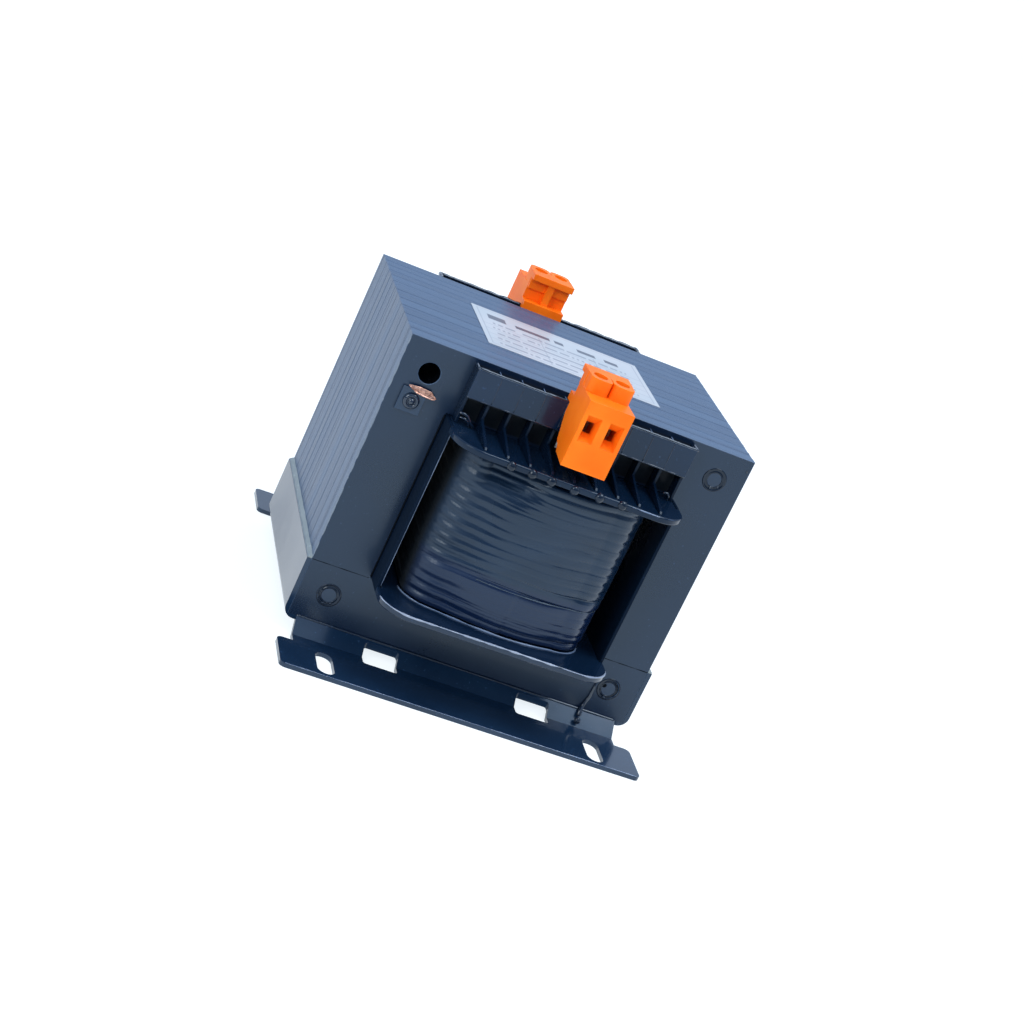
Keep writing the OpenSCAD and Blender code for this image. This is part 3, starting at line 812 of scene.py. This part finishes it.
# inner layers keep their CAD shape
def simple_noise(name, a, b, rough, scale=300, metallic=0.0):
    m, t, bs, tc = nt_new(name)
    f = noise_tex(t, tc.outputs["Object"], scale, 4)
    t.links.new(ramp(t, f, [(0.3, a), (0.7, b)]), bs.inputs["Base Color"])
    t.links.new(maprange(t, f, 0.3, 0.7, *rough), bs.inputs["Roughness"])
    bs.inputs["Metallic"].default_value = metallic
    t.links.new(bump(t, f, 0.3, 0.1), bs.inputs["Normal"])
    return m


M["paper"] = simple_noise("insulating_film", (0.010, 0.014, 0.022), (0.018, 0.024, 0.036), (0.4, 0.6))
M["wire"] = simple_noise("enamelled_wire", (0.030, 0.016, 0.012), (0.050, 0.026, 0.018), (0.35, 0.5), 500)
for n_, m_ in (("primary_winding", "wire"), ("interwinding_insulation", "paper")):
    NODES[n_].data.materials.clear()
    NODES[n_].data.materials.append(M[m_])

# ------------------------------------------------------------------- terminals
for n_ in ("front_terminal_housing", "rear_terminal_housing"):
    soften(n_, n_ + "_moulding", M["plastic"], "terminal_plastic", 0.3, 3)
for n_ in ("front_left_clamp_screw", "front_right_clamp_screw", "rear_left_clamp_screw", "rear_right_clamp_screw"):
    soften(n_, n_ + "_turned", M["zinc"], "plated_metal", 0.18, 2)
for n_ in ("front_clamp_cages", "rear_clamp_cages"):
    soften(n_, n_ + "_bent", M["cage"], "plated_metal", 0.25, 2)
for n_ in ("front_solder_tags", "rear_solder_tags"):
    soften(n_, n_ + "_stamped", M["zinc"], "plated_metal", 0.12, 2)

# ------------------------------------------------------ rods, earth point, label
for n_ in ("rod_top_right", "rod_bottom_left", "rod_bottom_right"):
    soften(n_, n_ + "_peened", M["steel"], "varnished_steel", 0.6, 3)
soften("earth_washer", "square_washer", M["steel"], "varnished_steel", 0.18, 2)


def lathe_y(name, x, y, z, prof, mat, seg=48):
    """Turned shape about an axis along Y: prof is (radius, distance out from the core's front face)."""
    verts, faces = [], []
    m = len(prof)
    for k in range(seg):
        a = 2 * math.pi * k / seg
        for r, d in prof:
            verts.append((x + r * math.cos(a), y - d, z + r * math.sin(a)))
    for k in range(seg):
        j = (k + 1) % seg
        for i in range(m - 1):
            faces.append((k * m + i, j * m + i, j * m + i + 1, k * m + i + 1))
    o = mesh_obj(name, verts, faces, mat)
    bm = bmesh.new()
    bm.from_mesh(o.data)
    bmesh.ops.remove_doubles(bm, verts=bm.verts, dist=1e-6)
    bmesh.ops.recalc_face_normals(bm, faces=bm.faces)
    bm.to_mesh(o.data)
    bm.free()
    return o


# domed screw under varnish, with a ring round its raised middle
screw = lathe_y("earth_screw_domed", -52, -41, 87.5,
                [(0, -7), (1.6, -7), (1.6, 0.8), (2.68, 0.8), (2.68, 1.15), (2.5, 1.55), (2.15, 1.85), (1.8, 1.92), (1.5, 1.75), (1.32, 1.45), (1.12, 1.5), (0.95, 1.95), (0.6, 2.25), (0.25, 2.37), (0, 2.39)], M["bead"])
place(screw, "plated_metal", "earth_screw")


def foil():
    """Torn copper foil lying over the washer's top edge, crumpled and curled at its lower edge."""
    up = [(-2.8, 4.9), (-1.8, 5.1), (0.6, 5.3), (2.6, 5.2), (4.9, 5.0), (5.7, 4.3), (6.8, 3.6)]
    lo = [(-2.8, 4.85), (-1.8, 4.2), (-0.9, 3.8), (0.3, 3.2), (1.9, 3.0), (3.3, 2.85), (5.6, 2.75), (6.3, 2.85), (6.8, 3.5)]

    def at(c, x):
        for (x0, v0), (x1, v1) in zip(c, c[1:]):
            if x <= x1:
                return v0 + (v1 - v0) * (x - x0) / (x1 - x0)
        return c[-1][1]

    nx, nz = 72, 14
    verts, faces = [], []
    for side in (0, 1):
        for i in range(nx + 1):
            x = -2.8 + 9.6 * i / nx
            jag = 0.12 * noise.noise(Vector((x * 2.6, 3, 0)))
            zu = at(up, x) + jag
            zl = at(lo, x) + 0.10 * noise.noise(Vector((x * 3.1, 9, 0)))
            for k in range(nz + 1):
                f = k / nz
                z = zl + (zu - zl) * f
                crumple = 0.28 * noise.noise(Vector((x * 0.9, z * 1.7, 5))) + 0.10 * noise.noise(Vector((x * 3.0, z * 4.0, 8)))
                curl = 0.55 * max(0, 1 - f * 4) ** 2
                d = 1.15 + crumple + curl + (0.0 if side else 0.16)
                verts.append((-52 + x, -41 - d, 87.5 + z))
    n1 = (nx + 1) * (nz + 1)
    for i in range(nx):
        for k in range(nz):
            a, b = i * (nz + 1) + k, (i + 1) * (nz + 1) + k
            faces.append((a, b, b + 1, a + 1))
            faces.append((n1 + a, n1 + a + 1, n1 + b + 1, n1 + b))
    for i in range(nx):
        for k in (0, nz):
            a, b = i * (nz + 1) + k, (i + 1) * (nz + 1) + k
            faces.append((a, b, n1 + b, n1 + a))
    for i in (0, nx):
        for k in range(nz):
            a = i * (nz + 1) + k
            faces.append((a, a + 1, n1 + a + 1, n1 + a))
    o = mesh_obj("torn_copper_foil", verts, faces, M["copper"])
    fix_normals(o)
    place(o, "copper_tab", "earth_tab")


foil()
soften("rating_label", "plain_label", M["label"], "label", 0.05, 2)

# ------------------------------------------------------------- wire funnels
def funnel(name, cx, turn):
    """Tapered mouth of a wire entry, from the block's face down to the slot in front of the clamp."""
    def ring(x0, x1, z0, z1, y):
        return [(x0, y, z0), (x1, y, z0), (x1, y, z1), (x0, y, z1)]

    v = ring(cx - 2.27, cx + 2.27, 101.23, 109.77, -65.42)
    v += ring(cx - 0.85, cx + 1.75, 103.1, 106.8, -61.6) + ring(cx - 0.85, cx + 1.75, 103.1, 106.8, -60.8)
    v += ring(cx - 2.27, cx + 2.27, 101.23, 109.77, -60.8)
    if turn:
        v = [(-x, -y, z) for x, y, z in v]
    f = []
    for a, b in ((0, 4), (4, 8), (8, 12), (12, 0)):
        for k in range(4):
            f.append((a + k, a + (k + 1) % 4, b + (k + 1) % 4, b + k))
    o = mesh_obj(name, v, f, M["plastic"], smooth=False)
    fix_normals(o)
    b = o.modifiers.new("edge", "BEVEL")
    b.width = 0.12 * MM
    b.segments = 2
    b.limit_method = "ANGLE"
    place(o, "terminal_plastic")


for side_, turn_ in (("front", False), ("rear", True)):
    for tag_, cx_ in (("left", -3.75), ("right", 3.75)):
        funnel(side_ + "_" + tag_ + "_wire_funnel", cx_, turn_)


# ------------------------------------------------- varnish that ran and set
def wob(i, seed, amp, freq=0.35):
    return 1 + amp * noise.noise(Vector((i * freq, seed * 3.7, 0.3)))


def line(a, b, step):
    a, b = Vector(a), Vector(b)
    n = max(1, int((b - a).length / step))
    return [a.lerp(b, k / n) for k in range(n)]


def bead_line(name, corners, r, seed, mat="bead", slot="varnished_former", step=0.8, amp=0.45, turn=False, freq=0.35):
    pts = []
    for a, b in zip(corners, corners[1:]):
        pts += line(a, b, step)
    pts.append(Vector(corners[-1]))
    if turn:
        pts = [Vector((-q.x, -q.y, q.z)) for q in pts]
    return tube(name, pts, [max(0.08, r * wob(i, seed, amp * 1.6, freq)) for i in range(len(pts))], M[mat], slot, 8)


def blob(name, loc, size, seed, slot="varnished_former", mat="bead", turn=False):
    """A set drop: rounder below, a little lopsided."""
    bm = bmesh.new()
    bmesh.ops.create_icosphere(bm, subdivisions=3, radius=1.0)
    for v in bm.verts:
        q = v.co.copy()
        k = 1 + 0.10 * noise.noise(q * 1.3 + Vector((seed, 0, 0)))
        z = q.z * (1.15 if q.z < 0 else 0.95)
        v.co = Vector((q.x * size[0] * k, q.y * size[1] * k, z * size[2] * k)) + Vector(loc)
        if turn:
            v.co.x, v.co.y = -v.co.x, -v.co.y
        v.co.z -= DROP
        v.co *= MM
    o = bm_obj(name, bm, M[mat])
    place(o, slot)
    return o


for side_, turn_ in (("front", False), ("rear", True)):
    sd = 1 if turn_ else 0
    # drops hanging from the top flange's edge
    for k_, (x_, z_) in enumerate(((-21, 86.4), (-13.9, 86.3), (-7.4, 86.2), (0.5, 86.1), (8.9, 86.5), (16.7, 86.7))):
        if turn_:
            x_, z_ = x_ * 0.93 + 2.5, z_ + 0.2
        blob("%s_flange_drop_%d" % (side_, k_ + 1), (x_, -64.55, z_ - 0.2), (1.55, 1.35, 1.55), k_ + 7 * sd, mat="ring", turn=turn_)
    # rail: a thick line of varnish along the plate's top and round its ends
    rz = 106.25 if not turn_ else 106.7
    bead_line(side_ + "_rail_bead", [(-37.9, -41.3, rz), (-37.9, -46.9, rz), (37.9, -46.9, rz), (37.9, -41.3, rz)],
              0.48 if not turn_ else 0.7, 3 + sd, turn=turn_, amp=0.25)
    for k_ in range(1, 10):
        x_ = -37.5 + 7.5 * k_
        bead_line("%s_rail_mark_%d" % (side_, k_), [(x_ + 0.15, -47.47, 97.0), (x_, -47.47, 106.0)], 0.15, 53 + k_ + sd, mat="former", turn=turn_, amp=0.5)
        # painted highlight lines on the divider tops
        bead_line("%s_divider_line_%d" % (side_, k_), [(x_, -41.7, 106.02), (x_, -46.3, 106.02)], 0.14, 73 + k_ + sd, mat="glint", turn=turn_, amp=0.5)
    bead_line(side_ + "_rail_lower_bead", [(-37.8, -47.3, 96.6), (37.8, -47.3, 96.6)], 0.28, 5 + sd, turn=turn_)
    # meniscus between the core and the saddle, and along the coil's foot, the latter coloured as a painted highlight
    # line
    bead_line(side_ + "_core_foot_bead", [(-56.8, -41.15, 7.6), (56.8, -41.15, 7.6)], 0.55, 11 + sd, turn=turn_, slot="varnished_steel", amp=0.12, freq=0.12)
    foot_pts = [spread(*q, 1.5) for q in layer_pts(30.9, 18.2, 3.2, 11.2) if q[1] < -46]
    foot_pts = [(x, y + 14 * lean_in(x), 30.0) for x, y in foot_pts]
    if turn_:
        foot_pts = [(-x, -y, z) for x, y, z in foot_pts]
    tube(side_ + "_coil_foot_bead", foot_pts, [0.30 * wob(i, 17 + sd, 0.8, 0.4) for i in range(len(foot_pts))], M["glint"], "varnished_former", 8)
    # the joint between the E and I sheets shows as a dark crack beside the window
    for k_, (xa, xb) in enumerate(((-59.7, -40.3), (40.3, 59.7))):
        bead_line("%s_joint_crack_%d" % (side_, k_ + 1), [(xa, -40.97, 27.5), (xb, -40.97, 27.5)], 0.11, 91 + k_ + sd, mat="pit", slot="varnished_laminations", amp=0.5, turn=turn_)
    # painted highlight line on the shoulder where the lowest turns step back under the ones above
    sh_ = [spread(*q, 1.5) for q in resample(layer_pts(30.95, 18.45, 3.2, 11.2), 300) if q[1] < -47 and q[0] > -14]
    sh_.sort()
    tube(side_ + "_coil_shoulder_line", [((-1 if turn_ else 1) * x, (-1 if turn_ else 1) * y, 45.4) for x, y in sh_],
         [max(0.05, 0.17 * wob(i, 83 + sd, 0.9, 0.12)) for i in range(len(sh_))], M["shoulder"], "varnished_winding", 8)
    # painted highlight lines along the flanges' lips
    q_ = -1 if turn_ else 1
    arc_ = [(28.8 + 10.75 * math.sin(math.radians(a)), -55.5 - 10.75 * math.cos(math.radians(a))) for a in range(0, 84, 6)]
    lip_ = [(-x, y) for x, y in reversed(arc_)] + [(-28.8 + 57.6 * k / 70, -66.25) for k in range(1, 70)] + arc_
    tube(side_ + "_lower_lip_line", [(q_ * x, q_ * y, 29.62) for x, y in lip_], [0.30 * wob(i, 43 + sd, 0.8, 0.25) for i in range(len(lip_))], M["lipline"], "varnished_former", 8)
    lip_ = [(20 + 8.8 * k / 12, -64.66) for k in range(12)] + [(x, y + 1.6) for x, y in arc_]
    tube(side_ + "_upper_lip_line", [(q_ * x, q_ * y, 86.95) for x, y in lip_], [0.19 * wob(i, 47 + sd, 0.7, 0.25) for i in range(len(lip_))], M["glint"], "varnished_former", 8)
    # painted highlight line along the side wall's front inner edge
    wl_ = [(-38.66, -51.06, 30.5 + 56.0 * k / 40) for k in range(41)]
    tube(side_ + "_wall_edge_line", [(q_ * x, q_ * y, z) for x, y, z in wl_], [0.09 * wob(i, 61 + sd, 0.7, 0.2) for i in range(len(wl_))], M["glint"], "varnished_former", 8)
    # painted shade: a near-black line in the crease where the side wall meets the core's face
    gl_ = [(-39.98, -41.0, 28.2 + 58.6 * k / 40) for k in range(41)]
    tube(side_ + "_wall_gap_line", [(q_ * x, q_ * y, z) for x, y, z in gl_], [0.36 * wob(i, 71 + sd, 0.3, 0.15) for i in range(len(gl_))], M["pit"], "varnished_former", 8)
    # painted highlight line along the foot's top front edge
    fl_ = [(-61.0 + 122.0 * k / 80, -68.22, 2.93) for k in range(81)]
    tube(side_ + "_foot_edge_line", [(q_ * x, q_ * y, z) for x, y, z in fl_], [0.17 * wob(i, 67 + sd, 0.5, 0.25) for i in range(len(fl_))], M["glint"], "varnished_steel", 8)
    # hooks of lead-out wire under the flange's ends
    tube(side_ + "_left_hook", [((-1 if turn_ else 1) * x, (-1 if turn_ else 1) * y, z) for x, y, z in
                                ((-37.7, -46.8, 91.0), (-36.2, -46.9, 91.0), (-34.9, -46.8, 90.6), (-33.4, -46.9, 89.0), (-31.9, -47.0, 87.6))],
         [0.35, 0.5, 0.5, 0.45, 0.4], M["bead"], "varnished_former", 8)
    tube(side_ + "_left_hook_lower", [((-1 if turn_ else 1) * x, (-1 if turn_ else 1) * y, z) for x, y, z in
                                      ((-37.1, -46.9, 89.6), (-35.6, -47.0, 89.6), (-34.2, -46.9, 89.0), (-33.2, -46.9, 87.6))],
         [0.3, 0.42, 0.42, 0.35], M["bead"], "varnished_former", 8)
    tube(side_ + "_right_hook", [((-1 if turn_ else 1) * x, (-1 if turn_ else 1) * y, z) for x, y, z in
                                 ((33.6, -47.0, 88.8), (34.3, -47.2, 89.7), (35.2, -47.2, 89.7), (35.9, -47.1, 88.9), (36.1, -47.0, 87.6))],
         [0.3, 0.45, 0.5, 0.45, 0.35], M["bead"], "varnished_former", 8)

# fillets along the tops of the two ears, coloured pale as a painted highlight, each with a painted highlight line
def ear_fillet(name, s):
    verts, faces = [], []
    n = 110
    for i in range(n + 1):
        y = -40.9 + 81.8 * i / n
        w = noise.noise(Vector((y * 0.22, 4.0 * s, 1.0)))
        w2 = noise.noise(Vector((y * 0.6, 9.0 * s, 2.0)))
        sec = [(61.47, 27.2), (61.30, 27.75 + 0.10 * w2), (60.70, 28.15 + 0.12 * w), (59.97, 28.6 + 0.25 * w + 0.1 * w2), (59.97, 27.2)]
        verts += [(s * x, y, z) for x, z in sec]
    for i in range(n):
        for k in range(5):
            a, b = i * 5 + k, i * 5 + (k + 1) % 5
            faces.append((a, b, b + 5, a + 5))
    faces.append(tuple(range(5)))
    faces.append(tuple(n * 5 + k for k in range(5)))
    o = mesh_obj(name, verts, faces, M["fillet"])
    fix_normals(o)
    sharp_by_angle(o, 50)
    place(o, "varnished_steel")
    bead_line(name + "_line", [(s * 61.27, -40.8, 27.75), (s * 61.27, 40.8, 27.75)], 0.11, 41 + s, mat="rim", slot="varnished_steel", amp=0.5)


ear_fillet("left_ear_fillet", -1)
ear_fillet("right_ear_fillet", 1)


# varnish filled rings round the rods, on both faces: a hollow that is deepest on one side, and two set drops below


def rod_ring(name, x, z, depth, deep_at, turn):
    verts, faces = [], []
    n = 56
    m = 9
    for i in range(n):
        a = 2 * math.pi * i / n
        k = 1 + 0.012 * noise.noise(Vector((math.cos(a) * 1.5 + x, math.sin(a) * 1.5, z)))
        dd = depth * max(0.10, 0.45 + 0.55 * math.cos(a - math.radians(deep_at)))
        prof = [(2.35, -0.02), (2.66, -0.13), (2.9, dd * 0.7), (3.16, dd), (3.4, dd * 0.7), (3.66, -0.13), (4.05, -0.015), (3.5, depth + 0.5), (2.9, depth + 0.5)]
        for r, d in prof:
            q = (x + r * k * math.cos(a), -41.0 + d, z + r * k * math.sin(a))
            verts.append((-q[0], -q[1], q[2]) if turn else q)
    for i in range(n):
        for k in range(m):
            a, b = i * m + k, i * m + (k + 1) % m
            c, d = ((i + 1) % n) * m + (k + 1) % m, ((i + 1) % n) * m + k
            faces.append((a, b, c, d))
    o = mesh_obj(name, verts, faces, M["ring"])
    fix_normals(o)
    place(o, "varnished_steel")


for side_, turn_ in (("front", False), ("rear", True)):
    q_ = -1 if turn_ else 1
    rod_ring(side_ + "_rod_ring_upper", 50 * q_, 97.5, 0.24, -30, turn_)
    rod_ring(side_ + "_rod_ring_lower_a", -50, 17.5, 0.45, 160, turn_)
    rod_ring(side_ + "_rod_ring_lower_b", 50, 17.5, 0.62, 10, turn_)
    for k_, (x_, z_, r_) in enumerate(((50 * q_ - 0.3, 94.7, 0.42), (50 * q_ + 2.0, 95.7, 0.42), (-50.8, 14.5, 0.45), (-48.5, 15.0, 0.4), (49.6, 14.4, 0.5))):
        blob("%s_rod_drop_%d" % (side_, k_ + 1), (x_, -41.12, z_), (r_, 0.28, r_ * 0.9), 31 + k_, "varnished_steel", turn=turn_)
    # painted shade: a near-black dab in the gap beside one lower rod
    blob(side_ + "_rod_painted_shade", (48.1, -41.0, 18.4), (0.8, 0.10, 0.7), 37, "varnished_steel", mat="pit", turn=turn_)

# a run of varnish down the front, ending in a drop on the joggle, and a speck
drip_ = [(45.0, -41.2, 19.2), (45.05, -41.3, 16.5), (45.0, -41.4, 13.0), (44.4, -41.5, 10.4), (43.9, -41.9, 8.4), (43.4, -44.0, 6.6)]
tube("varnish_run", drip_, [0.25, 0.45, 0.6, 0.6, 0.75, 0.8], M["bead"], "varnished_steel", 10)
blob("varnish_run_end", (43.2, -45.6, 5.4), (1.1, 0.9, 1.2), 3.0, "varnished_steel")
blob("varnish_speck", (58.8, -41.0, 103.8), (0.35, 0.25, 0.5), 5.0, "varnished_laminations")
# painted highlight line along the core's front left edge
bead_line("core_edge_line", [(-59.86, -40.86, 27.9), (-59.86, -40.86, 107.2)], 0.16, 23, mat="rim", slot="varnished_laminations", amp=0.5)

# --------------------------------------------------------------------- studio
floor = mesh_obj("floor", [(-20, -20, 0), (20, -20, 0), (20, 20, 0), (-20, 20, 0)], [(0, 1, 2, 3)], None, scale=1.0)
fm_ = bpy.data.materials.new("floor_paper")
fm_.use_nodes = True
fb = fm_.node_tree.nodes["Principled BSDF"]
fb.inputs["Base Color"].default_value = (0.30, 0.30, 0.30, 1)
fb.inputs["Emission Color"].default_value = (0.86, 0.92, 0.96, 1)
fb.inputs["Emission Strength"].default_value = 0.92
fb.inputs["Roughness"].default_value = 0.8
fb.inputs["Specular IOR Level"].default_value = 0.2
# seen from underneath the paper is clear, so the saddle's underside can be looked at too
ft_ = fm_.node_tree
fgeo = ft_.nodes.new("ShaderNodeNewGeometry")
fclear = ft_.nodes.new("ShaderNodeBsdfTransparent")
fmix = ft_.nodes.new("ShaderNodeMixShader")
ft_.links.new(fgeo.outputs["Backfacing"], fmix.inputs[0])
ft_.links.new(fb.outputs[0], fmix.inputs[1])
ft_.links.new(fclear.outputs[0], fmix.inputs[2])
ft_.links.new(fmix.outputs[0], ft_.nodes["Material Output"].inputs["Surface"])
floor.data.materials.append(fm_)

world = bpy.data.worlds.new("studio")
world.use_nodes = True
bg = world.node_tree.nodes["Background"]
wt = world.node_tree
wtc = wt.nodes.new("ShaderNodeTexCoord")
wsep = wt.nodes.new("ShaderNodeSeparateXYZ")
wt.links.new(wtc.outputs["Generated"], wsep.inputs[0])
fore = maprange(wt, wsep.outputs["Y"], -0.9, 0.2, 1.0, 0.0)
low = maprange(wt, wsep.outputs["Z"], 0.2, 0.6, 1.0, 0.0)
room = mix_col(wt, math_n(wt, "MULTIPLY", fore, low), (0.63, 0.77, 1.0), (0.11, 0.15, 0.24))
wt.links.new(room, bg.inputs[0])
bg.inputs[1].default_value = 1.02
scene.world = world


def area(name, loc, target, size, power, color=(1, 1, 1)):
    l = bpy.data.lights.new(name, "AREA")
    l.shape = "RECTANGLE"
    l.size, l.size_y = size
    l.energy = power
    l.color = color
    o = link(bpy.data.objects.new(name, l))
    o.location = loc
    o.rotation_euler = (Vector(target) - Vector(loc)).to_track_quat("-Z", "Y").to_euler()
    return o


area("top_soft", (0.46, -0.22, 1.4), (0, 0, 0.05), (0.7, 0.8), 13.5, (0.92, 0.96, 1.0))
area("front_soft", (-0.15, -1.35, 0.95), (0, 0, 0.06), (0.5, 0.5), 4.0, (1.0, 0.98, 0.96)).visible_glossy = False
area("left_soft", (-1.05, -0.85, 0.75), (0, 0, 0.06), (0.6, 0.7), 8.0, (1.0, 0.97, 0.93))

cam = bpy.data.cameras.new("view")
cam_o = link(bpy.data.objects.new("view", cam))
cam.sensor_width = 36
cam.lens = 79.31
cam.clip_start = 0.01
cam.clip_end = 100

cam_o.location = (-0.22051, -0.68510, 0.28160)
cam_o.rotation_euler = (math.radians(70.347), math.radians(-24.193), math.radians(-10.030))
scene.camera = cam_o
scene.view_settings.view_transform = "Standard"
